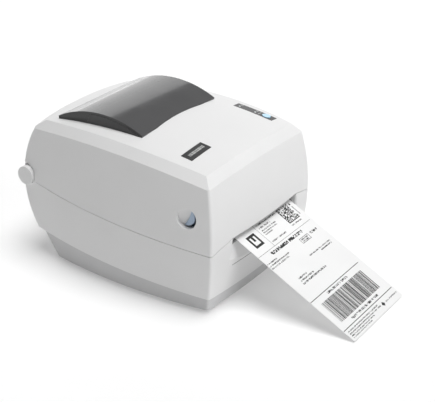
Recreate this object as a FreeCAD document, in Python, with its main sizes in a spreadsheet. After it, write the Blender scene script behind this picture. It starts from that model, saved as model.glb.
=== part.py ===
"""Desktop thermal label printer, four inch media, clamshell body.

Frame: origin on the surface that the printer stands on, midway between its four feet.
+X is the user's right when facing the front, -Y is the front where the label comes out,
+Z is up. All sizes are millimetres.
"""
import FreeCAD, Part
import math
import os
import re
import Sketcher
from FreeCAD import Placement, Rotation, Vector

SIZES = {
    # the two-part plastic body
    "case_half_width": 99.2, "case_plan_radius": 568, "case_barrel_radius": 310,
    "case_middle_back": -10, "case_middle_height": 69,
    "front_reach": 112.7, "front_plan_radius": 780, "front_barrel_radius": 262, "front_middle_height": 73,
    "rear_reach": 146.8, "rear_plan_radius": 351, "rear_barrel_radius": 105.8, "rear_middle_height": 85.2,
    "roof_peak": 159.5, "roof_peak_back": 25, "roof_radius": 590, "roof_crown_radius": 650,
    "roof_bevel": 7.5, "front_corner_round": 3, "rear_corner_round": 6, "wall": 2.5,
    "seam_height": 75.26, "seam_slope": 0.076, "seam_gap": 0.5,
    "slot_half_width": 59, "slot_height": 75, "seam_front_height": 67.2,
    # the plinth under the body
    "crease_height": 23.74, "crease_slope": 0.0616, "plinth_inset": 0.8, "plinth_reach": 121.5,
    "plinth_rear_slope": 15.5, "plinth_bottom": 3, "plinth_floor": 5.5,
    "foot_radius": 7, "foot_x": 68, "foot_y": 78,
    # the hinge at the back
    "hinge_back": 128.7, "hinge_height": 89.5, "hinge_cap_radius": 10, "hinge_pin_radius": 4,
    "hinge_clearance": 0.1, "knuckle_radius": 9.5, "knuckle_inner": 74.5, "ear_inner": 72, "ear_relief": 12, "tail_radius": 30,
    "hinge_cap_outer": 86.5, "feed_slot_bottom": 108,
    # the window over the media roll
    "window_half_width": 62.2, "window_front": -7, "window_rear": 99,
    "window_front_height": 157.6, "window_rear_height": 155.2, "window_peak": 169.3, "window_peak_back": 45,
    "window_wall": 2.2,
    # the print line
    "platen_back": -92, "platen_height": 63.25, "platen_radius": 8.25, "platen_half_length": 56,
    "platen_shaft_radius": 3, "bearing_radius": 7, "bearing_inner": 60, "bearing_width": 5,
    "gear_module": 0.8, "gear_width": 5, "gear_left": 70,
    "platen_teeth": 24, "idler_teeth": 34, "pinion_teeth": 12,
    "motor_back": -54, "motor_height": 47, "motor_side": 35, "motor_length": 26,
    # the media
    "label_half_width": 50.8, "label_length": 152.4, "label_thickness": 0.3, "label_underside": 71.75,
    "label_droop": 27.4, "label_bend_back": -106, "web_guide_back": -47,
    "roll_back": 48, "roll_height": 102, "roll_radius": 48, "core_radius": 15, "core_bore_radius": 12.8,
    "roll_half_width": 53,
    # the roll holders and their rack drive
    "holder_gap": 0.5, "holder_thickness": 4, "hub_radius": 12.4, "hub_depth": 7,
    "rack_module": 1, "rack_teeth_count": 14, "rack_pinion_teeth": 14, "rack_floor": 45.4, "rack_height": 4,
    # the tray that carries the mechanism
    "tray_half_width": 78, "tray_front": -100, "tray_rear": 108, "tray_bottom": 42, "tray_thickness": 3,
    "deck_front": -78, "deck_rear": -46, "deck_top": 68, "deck_half_width": 64,
    # the print head in the cover
    "head_half_width": 55, "head_pivot_back": -62, "head_pivot_height": 92, "head_pivot_radius": 2,
    "head_face": 72.3, "frame_half_width": 76, "frame_height": 118, "frame_front": -97, "frame_rear": -45,
    "frame_sheet": 2.5,
    # the release latch and the round scoop that it is reached through
    "scoop_back": -80.5, "scoop_height": 101.6, "scoop_radius": 10.3, "scoop_tilt": 26.4,
    "scoop_edge_radius": 35, "scoop_edge_set": 34.6, "scoop_depth": 3.6, "scoop_bottom": 85.5,
    "latch_back": -78, "latch_height": 132, "latch_shaft_radius": 2.5, "lever_inner": 78, "lever_thickness": 3,
    "pad_radius": 9.1, "pad_set": 2.2, "pad_outer": 89.6,
    # the control panel on the roof
    "panel_left": 62.1, "panel_width": 11, "panel_front": -77.5, "panel_length": 47, "panel_thickness": 0.8,
    "button_back": -68, "button_radius": 4.4, "button_height": 4,
    "badge_left": -66.5, "badge_width": 32.5, "badge_front": -69, "badge_length": 13,
    # screws
    "screw_radius": 1.5, "frame_screw_length": 9, "case_screw_seat": 12,
    # the sockets and the switch at the back
    "port_half_width": 50, "port_bottom": 38, "port_top": 62, "port_plane": 130, "port_sheet": 2,
}

doc = FreeCAD.newDocument("label_printer")
sheet = doc.addObject("Spreadsheet::Sheet", "Sizes")
for row, (alias, number) in enumerate(SIZES.items(), start=1):
    sheet.set("A%d" % row, alias)
    sheet.set("B%d" % row, str(number))
    sheet.setAlias("B%d" % row, alias)
doc.recompute()

sub_parts = []


# ---- reading the sheet ------------------------------------------------------------

def size(alias):
    """The number in the sheet under this name."""
    return float(sheet.get(alias))


def formula(text):
    """A formula in sheet names, as FreeCAD wants it."""
    return re.sub(r"[a-z]+(_[a-z]+)*", lambda word: "Sizes." + word[0] if word[0] in SIZES else word[0], str(text))


def bind(item, prop, text):
    """Tie one property of an object to a formula on the sheet."""
    item.setExpression(prop, formula(text))


def put(item, place, turn=None):
    """Tie an object's position to three formulas, and turn it by an axis and an angle."""
    if turn:
        item.Placement = Placement(Vector(), Rotation(Vector(*turn[:3]), turn[3]))
    for axis, text in zip("xyz", place):
        bind(item, "Placement.Base." + axis, text)
    return item


# ---- building blocks --------------------------------------------------------------

ALONG_X = (0, 1, 0, 90)


def block(name, corner, sides):
    """A rectangular block from its lowest corner."""
    item = doc.addObject("Part::Box", name)
    for prop, text in zip(("Length", "Width", "Height"), sides):
        bind(item, prop, text)
    return put(item, corner)


def rod(name, radius, length, start, turn=None):
    """A round bar that starts at a point and runs along its axis."""
    item = doc.addObject("Part::Cylinder", name)
    bind(item, "Radius", radius)
    bind(item, "Height", length)
    return put(item, start, turn)


def joined(name, items):
    """Several solids made into one."""
    item = doc.addObject("Part::MultiFuse", name)
    item.Shapes = items
    item.Refine = True
    return item


def bored(name, solid, tools):
    """A solid with other solids taken out of it."""
    item = doc.addObject("Part::Cut", name)
    item.Base = solid
    item.Tool = tools[0] if len(tools) == 1 else joined(name + "_tools", tools)
    item.Refine = True
    return item


def shaped(name, shape):
    """An object whose shape comes from Part's own functions."""
    item = doc.addObject("Part::Feature", name)
    item.Shape = shape
    return item


def mirrored(name, item):
    """The same solid on the other side of the middle plane."""
    other = doc.addObject("Part::Mirroring", name)
    other.Source = item
    other.Normal = Vector(1, 0, 0)
    return other


def keep(label, item):
    """Name a finished sub-part."""
    item.Label = label
    sub_parts.append(item)
    return item


def face_of(points):
    """A flat face through points in order."""
    return Part.Face(Part.makePolygon(points + points[:1]))


def prism_x(points, left, right):
    """A solid with an outline of (y, z) points, from left to right."""
    face = face_of([Vector(left, y, z) for y, z in points])
    return face.extrude(Vector(right - left, 0, 0))


def prism_y(points, front, back):
    """A solid with an outline of (x, z) points, from front to back."""
    face = face_of([Vector(x, front, z) for x, z in points])
    return face.extrude(Vector(0, back - front, 0))


def slab(low, high):
    """A rectangular solid between two corners."""
    return Part.makeBox(high[0] - low[0], high[1] - low[1], high[2] - low[2], Vector(*low))


def disc_x(radius, left, right, y, z):
    """A round solid along X."""
    return Part.makeCylinder(radius, right - left, Vector(left, y, z), Vector(1, 0, 0))


def both_sides(shape):
    """A shape and its mirror image across the middle plane."""
    return shape.fuse(shape.mirror(Vector(), Vector(1, 0, 0)))


# ---- the outer form ---------------------------------------------------------------

FORM_BOTTOM = 0
FORM_TOP = 170


def turned(profile, centre, axis):
    """The solid of revolution of a closed profile."""
    return Part.Face(Part.Wire(profile)).revolve(centre, axis, 360)


def barrel(centre, outward, plan_radius, barrel_radius, middle_height):
    """A solid with a wall that bulges in plan and in height, turned about an upright axis."""
    def point(height):
        bulge = barrel_radius - math.sqrt(barrel_radius ** 2 - (height - middle_height) ** 2)
        return centre + outward * (bulge - plan_radius) + Vector(0, 0, height)
    low, high = point(FORM_BOTTOM), point(FORM_TOP)
    foot, top = centre + Vector(0, 0, FORM_BOTTOM), centre + Vector(0, 0, FORM_TOP)
    profile = [Part.LineSegment(foot, low).toShape(),
               Part.Arc(low, point((FORM_BOTTOM + FORM_TOP) / 2), high).toShape(),
               Part.LineSegment(high, top).toShape(), Part.LineSegment(top, foot).toShape()]
    return turned(profile, centre, Vector(0, 0, 1))


def side_form(side, inset):
    """The solid behind one side wall: side is -1 for left and 1 for right."""
    plan_radius = size("case_plan_radius")
    centre = Vector(side * (size("case_half_width") - plan_radius), size("case_middle_back"), 0)
    return barrel(centre, Vector(side, 0, 0), plan_radius - inset, size("case_barrel_radius") - inset,
                  size("case_middle_height"))


def end_form(end, side, inset):
    """The solid behind the front or rear wall: side is -1 for front and 1 for rear."""
    plan_radius = size(end + "_plan_radius")
    centre = Vector(0, side * (size(end + "_reach") - plan_radius), 0)
    return barrel(centre, Vector(0, side, 0), plan_radius - inset, size(end + "_barrel_radius") - inset,
                  size(end + "_middle_height"))


def roof_form(inset):
    """The solid under the roof, arched from front to rear and crowned from side to side."""
    reach = 130
    radius = size("roof_radius") - inset
    centre = Vector(0, size("roof_peak_back"), size("roof_peak") - size("roof_radius"))
    edge_drop = reach ** 2 / (2 * size("roof_crown_radius"))
    def point(x, drop):
        return centre + Vector(x, 0, drop - radius)
    left, right = point(-reach, edge_drop), point(reach, edge_drop)
    profile = [Part.Arc(left, point(0, 0), right).toShape(),
               Part.LineSegment(right, centre + Vector(reach, 0, 0)).toShape(),
               Part.LineSegment(centre + Vector(reach, 0, 0), centre - Vector(reach, 0, 0)).toShape(),
               Part.LineSegment(centre - Vector(reach, 0, 0), left).toShape()]
    return turned(profile, centre, Vector(1, 0, 0))


def is_upright(edge):
    """Whether an edge runs from the floor to the roof."""
    box = edge.BoundBox
    return box.ZLength > 100


def body_form(inset):
    """The whole closed body, every wall moved in by the same amount."""
    form = side_form(-1, inset).common(side_form(1, inset))
    form = form.common(end_form("front", -1, inset)).common(end_form("rear", 1, inset))
    form = form.common(roof_form(inset))
    rim = [edge for edge in form.Edges if edge.BoundBox.ZMin > size("hinge_height")]
    form = form.makeChamfer(size("roof_bevel"), rim)
    front = [edge for edge in form.Edges if is_upright(edge) and edge.BoundBox.YMax < 0]
    form = form.makeFillet(max(size("front_corner_round") - inset, 1), front)
    rear = [edge for edge in form.Edges if is_upright(edge) and edge.BoundBox.YMin > 0]
    return form.makeFillet(max(size("rear_corner_round") - inset, 2), rear)


def above_plane(height, slope):
    """Everything above a plane that rises towards the rear."""
    reach = 200
    return prism_x([(-reach, height - slope * reach), (reach, height + slope * reach), (reach, 400),
                    (-reach, 400)], -reach, reach)


def hinge_disc(radius, left, right):
    """A round solid on the hinge axis."""
    return disc_x(radius, left, right, size("hinge_back"), size("hinge_height"))


# ---- the shells -------------------------------------------------------------------

def seam_plane(rise):
    """Everything above the seam between cover and case, raised by an amount."""
    return above_plane(size("seam_height") + rise, size("seam_slope"))


def crease_plane(rise):
    """Everything above the crease between case and plinth, raised by an amount."""
    return above_plane(size("crease_height") + rise, size("crease_slope"))


def case_zone(gap):
    """The space that belongs to the case and the plinth, grown by the gap on the cover's side."""
    ear = size("ear_inner")
    reach = 120
    step = size("slot_half_width")
    front_height = size("seam_front_height") + gap
    riser = prism_y([(-reach, 60), (reach, 60), (reach, front_height), (91, front_height),
                     (step, size("slot_height") + gap), (-step, size("slot_height") + gap),
                     (-91, front_height), (-reach, front_height)], -reach, -98)
    behind = slab((-reach, size("hinge_back"), 20), (reach, 160, size("hinge_height") + 10.5 + gap))
    tail = hinge_disc(size("tail_radius") + gap, -ear - gap / 2, ear + gap / 2)
    tail = tail.common(slab((-reach, size("hinge_back"), 20), (reach, 160, 170)))
    ears = both_sides(slab((ear - gap / 2, size("hinge_back"), 20), (reach, 160, 170))).common(behind)
    zone = slab((-reach, -140, -5), (reach, 160, 170)).cut(seam_plane(gap))
    zone = zone.fuse(riser).fuse(tail).fuse(ears)
    knuckle = size("knuckle_radius") + (0 if gap else 0.8)
    return zone.cut(both_sides(hinge_disc(knuckle, size("knuckle_inner") - 0.4, reach)))


def scoop_frame(inward, upward):
    """A point given along the scoop's own tilted axes, in the printer's y and z."""
    tilt = math.radians(size("scoop_tilt"))
    return (size("scoop_back") + inward * math.cos(tilt) - upward * math.sin(tilt),
            size("scoop_height") + inward * math.sin(tilt) + upward * math.cos(tilt))


def scoop_opening(radius, clearance):
    """The half-moon hole at the front of the left scoop."""
    y, z = scoop_frame(size("scoop_edge_set"), 0)
    hole = disc_x(radius, -110, -70, size("scoop_back"), size("scoop_height"))
    return hole.cut(disc_x(size("scoop_edge_radius") + clearance, -110, -70, y, z))


def scoop_dish():
    """The sloping thumb dish of the left scoop, flush at the back and deepest at the hole."""
    radius = size("scoop_radius")
    wall_x = -size("case_half_width") + 6.1
    tilt = math.degrees(math.atan2(size("scoop_depth"), radius))
    wedge = slab((-60, -60, -60), (0, 60, 60))
    wedge.rotate(Vector(), Vector(0, 0, 1), tilt)
    wedge.rotate(Vector(), Vector(1, 0, 0), size("scoop_tilt"))
    y, z = scoop_frame(radius, 0)
    wedge.translate(Vector(wall_x + 1.2, y, z))
    return disc_x(radius, -110, -70, size("scoop_back"), size("scoop_height")).common(wedge)


def make_top_cover(outer, inner):
    """The hinged cover: a thin shell with the scoops, the window opening and the knuckles."""
    cover_zone = slab((-130, -140, 0), (130, 160, 180)).cut(case_zone(size("seam_gap")))
    cover = outer.cut(inner).common(cover_zone)
    boss = disc_x(size("scoop_radius") + 2, -100, -size("scoop_bottom"), size("scoop_back"),
                  size("scoop_height"))
    cover = cover.fuse(both_sides(boss.common(outer)))
    cover = cover.cut(both_sides(scoop_dish())).cut(both_sides(scoop_opening(size("scoop_radius"), 0)))
    cover = cover.cut(slab((-size("window_half_width") + 3, size("window_front") + 4, 100),
                           (size("window_half_width") - 3, size("window_rear") - 4, 175)))
    knuckles = both_sides(hinge_disc(size("knuckle_radius"), -81, -size("knuckle_inner")))
    cover = cover.fuse(knuckles)
    cover = cover.cut(hinge_disc(size("hinge_pin_radius") + size("hinge_clearance"), -110, 110))
    cover = cover.cut(both_sides(hinge_disc(size("hinge_cap_radius") + 0.4, -110, -81.2)))
    left = size("panel_left")
    cover = cover.fuse(roof_posts())
    cover = cover.cut(sunk_in_roof(left, size("panel_width"), size("panel_front"), size("panel_length")))
    cover = cover.cut(sunk_in_roof(size("badge_left"), size("badge_width"), size("badge_front"),
                                   size("badge_length")))
    button = Part.makeCylinder(size("button_radius") + 0.3, 30,
                               Vector(left + size("panel_width") / 2, size("button_back"), 130))
    cover = cover.cut(button)
    return keep("top_cover", shaped("TopCover", cover))


def roof_posts():
    """The screw posts that hang from the roof and carry the mechanism frame."""
    foot = size("frame_height") + size("frame_sheet")
    posts = [Part.makeCylinder(4, 40, Vector(x, y, foot)) for x, y in frame_screw_places()]
    posts = posts[0].fuse(posts[1:]).common(roof_form(size("wall") / 2))
    return posts.cut(screw_holes(frame_screw_places(), foot, size("frame_height") + size("frame_screw_length")))


def sunk_in_roof(left, width, front, length):
    """The shallow pocket in the roof that takes a flat plate."""
    depth = size("panel_thickness")
    plate = slab((left, front, 100), (left + width, front + length, 175))
    return plate.cut(roof_form(depth))


def plate_in_roof(left, width, front, length, proud):
    """A thin plate that fills its pocket and follows the roof."""
    edge = 0.15
    plate = slab((left + edge, front + edge, 100), (left + width - edge, front + length - edge, 175))
    return plate.common(roof_form(-proud)).cut(roof_form(size("panel_thickness")))


def make_lower_case(outer, inner):
    """The lower case: the walls between the crease and the seam, with a floor rim inside."""
    walls = outer.common(case_zone(0)).common(crease_plane(0))
    hollow = inner.common(crease_plane(size("wall")))
    case = walls.cut(hollow).cut(slab((-66, -88, 0), (66, 92, 60)))
    case = case.cut(bezel_opening(0))
    half = size("port_half_width")
    case = case.cut(slab((-half, size("port_plane") - 3, size("port_bottom")), (half, 160, size("port_top"))))
    case = case.cut(slab((-60, 130, size("feed_slot_bottom")), (60, 160, 125)))
    case = case.cut(screw_holes(case_screw_places(), 0, 40))
    case = case.cut(both_sides(swing_room()))
    return keep("lower_case", shaped("LowerCase", case))


def swing_room():
    """What the left ear gives up so that the cover's rear wall can swing down past it."""
    back, height = size("hinge_back"), size("hinge_height")
    inner, outer = (slab((-120, back, height), (-near, back + 30, height + 15))
                    for near in (size("ear_inner") - 0.3, size("ear_inner") + 4))
    return inner.cut(hinge_disc(size("ear_relief"), -120, -70)).fuse(outer)


def bezel_opening(inset):
    """The opening under the slot: narrower at the top, closed by the tear bezel."""
    bottom, top = 45, size("slot_height") + 5
    wide, narrow = 65 - inset, 58.6 - inset
    return prism_y([(-wide, bottom + inset), (wide, bottom + inset), (narrow, top), (-narrow, top)], -130, -96)


def make_front_bezel(outer):
    """The sloping panel below the slot, flush at its foot and set back at its top."""
    top = 65.5
    panel = prism_x([(-120, 45), (-111, 46), (-106.5, top), (-104, top), (-104, 60), (-108, 45)], -70, 70)
    panel = panel.common(bezel_opening(0.2)).common(outer)
    cheek = prism_x([(-120, 45), (-120, 74), (-104, 74), (-104, 45)], -66, -56)
    cheek = cheek.common(bezel_opening(0.2)).common(outer).common(body_form(0.6))
    cheek = cheek.cut(prism_y([(-50, 0), (-50, 90), (-55.6, 90), (-62.6, 45), (-62.6, 0)], -130, -90))
    return keep("front_bezel", shaped("FrontBezel", panel.fuse(both_sides(cheek)).removeSplitter()))


def make_base_plate():
    """The plinth: a closed tray under the case, set in at the sides and sloping in at the rear."""
    def plinth(inset):
        form = side_form(-1, inset).common(side_form(1, inset)).common(end_form("front", -1, inset))
        radius = size("rear_plan_radius") - inset
        reach = size("plinth_reach")
        centre = Vector(0, reach - size("rear_plan_radius"), 0)
        bottom, top = size("plinth_bottom"), 40
        slope = size("plinth_rear_slope") / 27
        def corner(height):
            return centre - Vector(0, radius - slope * (30.6 - height), -height)
        foot, head = centre + Vector(0, 0, bottom), centre + Vector(0, 0, top)
        profile = [Part.LineSegment(foot, corner(bottom)).toShape(),
                   Part.LineSegment(corner(bottom), corner(top)).toShape(),
                   Part.LineSegment(corner(top), head).toShape(), Part.LineSegment(head, foot).toShape()]
        return form.common(turned(profile, centre, Vector(0, 0, 1)))
    outside = plinth(size("plinth_inset"))
    uprights = [edge for edge in outside.Edges if edge.BoundBox.ZLength > 25]
    outside = outside.makeFillet(3, uprights)
    inside = plinth(size("plinth_inset") + size("wall"))
    inside = inside.common(slab((-120, -130, size("plinth_floor")), (120, 130, 60)))
    floor, seat = size("plinth_floor"), size("case_screw_seat")
    posts = [Part.makeCylinder(3.5, 6, Vector(x, y, floor)) for x in (-55, 55) for y in (-35, 75)]
    pillars = [Part.makeCylinder(5.5, 30, Vector(x, y, floor)) for x, y in case_screw_places()]
    tray = outside.cut(inside).fuse(posts + pillars).cut(crease_plane(-0.1))
    for x, y in case_screw_places():
        tray = tray.cut(Part.makeCylinder(3.6, seat, Vector(x, y, 0)))
    tray = tray.cut(screw_holes(case_screw_places(), 0, 40))
    return keep("base_plate", shaped("BasePlate", tray))


def arch(inset):
    """The closed solid under the window's arch."""
    front, rear = size("window_front") + inset, size("window_rear") - inset
    top = Part.Arc(Vector(0, front, size("window_front_height") - inset),
                   Vector(0, size("window_peak_back"), size("window_peak") - inset),
                   Vector(0, rear, size("window_rear_height") - inset)).toShape()
    low = 146
    outline = [top, Part.LineSegment(top.Vertexes[1].Point, Vector(0, rear, low)).toShape(),
               Part.LineSegment(Vector(0, rear, low), Vector(0, front, low)).toShape(),
               Part.LineSegment(Vector(0, front, low), top.Vertexes[0].Point).toShape()]
    half = size("window_half_width") - inset
    solid = Part.Face(Part.Wire(outline)).extrude(Vector(2 * half, 0, 0))
    solid.translate(Vector(-half, 0, 0))
    return solid


def make_window():
    """The smoked window: an arched hood with end walls, standing in the opening of the roof."""
    hood = arch(0).cut(arch(size("window_wall")))
    hood = hood.cut(roof_form(-0.05))
    rim = arch(0).cut(arch(6.4)).common(roof_form(-1.5)).cut(roof_form(-0.05))
    skirt = arch(4.2).cut(arch(6.4)).cut(slab((-99, -99, 0), (99, 199, 150))).common(roof_form(-1))
    return keep("window", shaped("Window", hood.fuse([rim, skirt]).removeSplitter()))


# ---- the hinge --------------------------------------------------------------------

def make_hinges():
    """Each hinge: a bracket on the tray, and a headed pin that carries the cover's knuckle."""
    back, height = "hinge_back", "hinge_height"
    head = rod("PinHead", "hinge_cap_radius", "5", ("-hinge_cap_outer", back, height), ALONG_X)
    shank = rod("PinShank", "hinge_pin_radius", "hinge_cap_outer - 69", ("-hinge_cap_outer + 1", back, height),
                ALONG_X)
    pin = joined("HingePinLeft", [head, shank])
    keep("hinge_pin_left", pin)
    keep("hinge_pin_right", mirrored("HingePinRight", pin))
    foot = block("BracketFoot", ("-74", "94", "tray_bottom + tray_thickness"), ("10", "14", "3"))
    leg = shaped("BracketLeg", prism_x([(94, 45), (108, 45), (134, 84), (134, 96), (122, 96), (94, 60)], -74, -70))
    hole = rod("BracketHole", "hinge_pin_radius", "20", ("-80", back, height), ALONG_X)
    bracket = bored("HingeBracketLeft", joined("BracketSolid", [foot, leg]), [hole])
    keep("hinge_bracket_left", bracket)
    keep("hinge_bracket_right", mirrored("HingeBracketRight", bracket))


# ---- the tray and the print line --------------------------------------------------

def make_media_tray():
    """The tray on four legs: floor, bearing uprights, media deck and motor wall."""
    half, front, rear = size("tray_half_width"), size("tray_front"), size("tray_rear")
    bottom, thick = size("tray_bottom"), size("tray_thickness")
    tray = slab((-half, front, bottom), (half, rear, bottom + thick))
    legs = [slab((side * 71 - 4, y, 15), (side * 71 + 4, y + 12, bottom)) for side in (-1, 1) for y in (-100, 80)]
    inner, width = size("bearing_inner"), size("bearing_width")
    upright = slab((inner, -101, bottom), (inner + width, -80, 72.5))
    deck = slab((-size("deck_half_width"), size("deck_front"), size("deck_top") - 2.5),
                (size("deck_half_width"), size("deck_rear"), size("deck_top")))
    deck_leg = slab((54, size("deck_front"), bottom), (57, size("deck_rear"), size("deck_top")))
    catch_back = size("latch_back") + 9
    catch = slab((-81, catch_back, bottom), (-78.2, catch_back + 6, 78))
    catch = catch.fuse(slab((-81, catch_back - 2, bottom), (-half + 2, catch_back + 12, bottom + thick)))
    tray = tray.fuse(legs).fuse(both_sides(upright)).fuse(deck).fuse(both_sides(deck_leg))
    tray = tray.fuse(both_sides(catch))
    tray = tray.cut(slab((-half, front, 10), (half, rear, 80)).cut(crease_plane(size("wall"))))
    back, height = size("platen_back"), size("platen_height")
    seats = disc_x(size("bearing_radius"), -80, 80, back, height)
    mouth = slab((-80, back - size("bearing_radius") + 1, height), (80, back + size("bearing_radius") - 1, 80))
    tray = tray.cut(seats).cut(mouth.common(both_sides(slab((50, -110, 0), (70, -70, 100)))))
    tray = tray.cut(slab((26, -84.5, 10), (66, -32, 64.8))).cut(slab((66, -90, 10), (76.5, -32, 80)))
    return keep("media_tray", shaped("MediaTray", tray))


def involute_outline(teeth, module, backlash):
    """The outline of a spur gear, one tooth centred on the first axis."""
    pressure = math.radians(20)
    pitch = module * teeth / 2
    base, tip, root = pitch * math.cos(pressure), pitch + module * 0.95, pitch - module * 1.25
    def half_angle(radius):
        roll = math.sqrt(max((radius / base) ** 2 - 1, 0))
        pitch_roll = math.tan(pressure)
        spread = (pitch_roll - math.atan(pitch_roll)) - (roll - math.atan(roll))
        return (math.pi * module / 2 - backlash) / (2 * pitch) + spread
    steps = 4
    start = max(base, root)
    flank = [start + (tip - start) * step / steps for step in range(steps + 1)]
    points = []
    for tooth in range(teeth):
        middle = 2 * math.pi * tooth / teeth
        rising = [(root, -half_angle(start))] + [(radius, -half_angle(radius)) for radius in flank]
        falling = [(radius, -angle) for radius, angle in reversed(rising)]
        points += [(radius * math.cos(middle + angle), radius * math.sin(middle + angle))
                   for radius, angle in rising + falling]
    return points


def spur_gear(teeth, module, width, bore, turn_degrees):
    """A spur gear standing on the floor, its axis upright."""
    points = [Vector(x, y, 0) for x, y in involute_outline(teeth, module, 0.12)]
    gear = face_of(points).extrude(Vector(0, 0, width))
    gear = gear.cut(Part.makeCylinder(bore, width))
    gear.rotate(Vector(), Vector(0, 0, 1), turn_degrees)
    return gear


def gear_along_x(teeth, bore, start, turn_degrees):
    """A spur gear of the print line, its axis along X; its angles run from +Y towards +Z."""
    gear = spur_gear(teeth, size("gear_module"), size("gear_width"), bore, turn_degrees)
    gear.rotate(Vector(), Vector(1, 1, 1), 120)
    gear.translate(Vector(*start))
    return gear


def gear_train():
    """The centres of the three gears in y and z, and the turn that puts each in mesh."""
    module = size("gear_module")
    platen = Vector(size("platen_back"), size("platen_height"), 0)
    pinion = Vector(size("motor_back"), size("motor_height"), 0)
    first = module * (size("platen_teeth") + size("idler_teeth")) / 2
    second = module * (size("idler_teeth") + size("pinion_teeth")) / 2
    line = pinion - platen
    span = line.Length
    angle = math.acos((first ** 2 + span ** 2 - second ** 2) / (2 * first * span))
    heading = math.atan2(line.y, line.x) - angle
    idler = platen + Vector(math.cos(heading), math.sin(heading), 0) * first
    idler_turn = mesh_turn(heading, 0, size("platen_teeth"), size("idler_teeth"))
    second_line = pinion - idler
    second_heading = math.atan2(second_line.y, second_line.x)
    pinion_turn = mesh_turn(second_heading, idler_turn, size("idler_teeth"), size("pinion_teeth"))
    return (idler, idler_turn), (pinion, pinion_turn)


def mesh_turn(heading, driver_turn, driver_teeth, driven_teeth):
    """The angle of a driven gear whose teeth fall in the driver's gaps, along a line of centres."""
    return (heading + math.pi + math.pi / driven_teeth
            + (heading - driver_turn) * driver_teeth / driven_teeth)


def make_print_line():
    """Platen roller, its bearings, the gear train and the stepper motor."""
    back, height = "platen_back", "platen_height"
    radius, half = "platen_radius", "platen_half_length"
    shaft = rod("PlatenShaftBar", "platen_shaft_radius", "146", ("-70", back, height), ALONG_X)
    keep("platen_shaft", shaft)
    rubber = rod("PlatenRubberBar", radius, "2 * platen_half_length", ("-" + half, back, height), ALONG_X)
    bore = rod("PlatenRubberBore", "platen_shaft_radius", "2 * platen_half_length + 4", ("-" + half + " - 2", back,
               height), ALONG_X)
    keep("platen_rubber", bored("PlatenRubber", rubber, [bore]))
    outer = rod("BearingOuter", "bearing_radius", "bearing_width", ("-bearing_inner - bearing_width", back, height),
                ALONG_X)
    inner = rod("BearingBore", "platen_shaft_radius + 0.05", "bearing_width + 2",
                ("-bearing_inner - bearing_width - 1", back, height), ALONG_X)
    bearing = bored("PlatenBearingLeft", outer, [inner])
    keep("platen_bearing_left", bearing)
    keep("platen_bearing_right", mirrored("PlatenBearingRight", bearing))
    left = size("gear_left")
    (idler, idler_turn), (pinion, pinion_turn) = gear_train()
    platen = gear_along_x(int(size("platen_teeth")), size("platen_shaft_radius"),
                          (left, size(back), size(height)), 0)
    keep("platen_gear", shaped("PlatenGear", platen))
    wheel = gear_along_x(int(size("idler_teeth")), 2.1, (left, idler.x, idler.y), math.degrees(idler_turn))
    keep("idler_gear", shaped("IdlerGear", wheel))
    small = gear_along_x(int(size("pinion_teeth")), 1.5, (left, pinion.x, pinion.y), math.degrees(pinion_turn))
    rotor = disc_x(1.5, left - 6, left + size("gear_width"), pinion.x, pinion.y)
    keep("motor_pinion", shaped("MotorPinion", small.fuse(rotor)))
    make_motor(idler)


def make_motor(idler):
    """The stepper motor and the plate that carries it and the idler's pin."""
    side, length, back, height = size("motor_side"), size("motor_length"), size("motor_back"), size("motor_height")
    plate_left, plate = 63, 2
    can = slab((plate_left - length, back - side / 2, height - side / 2),
               (plate_left, back + side / 2, height + side / 2))
    can = can.makeChamfer(3, [edge for edge in can.Edges if edge.BoundBox.XLength > length - 1])
    can = can.cut(disc_x(3, plate_left - 8, plate_left, back, height))
    keep("stepper_motor", shaped("StepperMotor", can))
    sheet_metal = slab((plate_left, back - 21, 30.5), (plate_left + plate, back + 21, 64.5))
    sheet_metal = sheet_metal.fuse(slab((plate_left, back - 30, 45), (plate_left + plate, back + 10, 64.5)))
    sheet_metal = sheet_metal.cut(disc_x(6, plate_left - 1, plate_left + plate + 1, back, height))
    pin = disc_x(2, plate_left + plate, size("gear_left") + size("gear_width") + 1, idler.x, idler.y)
    keep("motor_bracket", shaped("MotorBracket", sheet_metal.fuse(pin)))


# ---- the media --------------------------------------------------------------------

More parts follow.
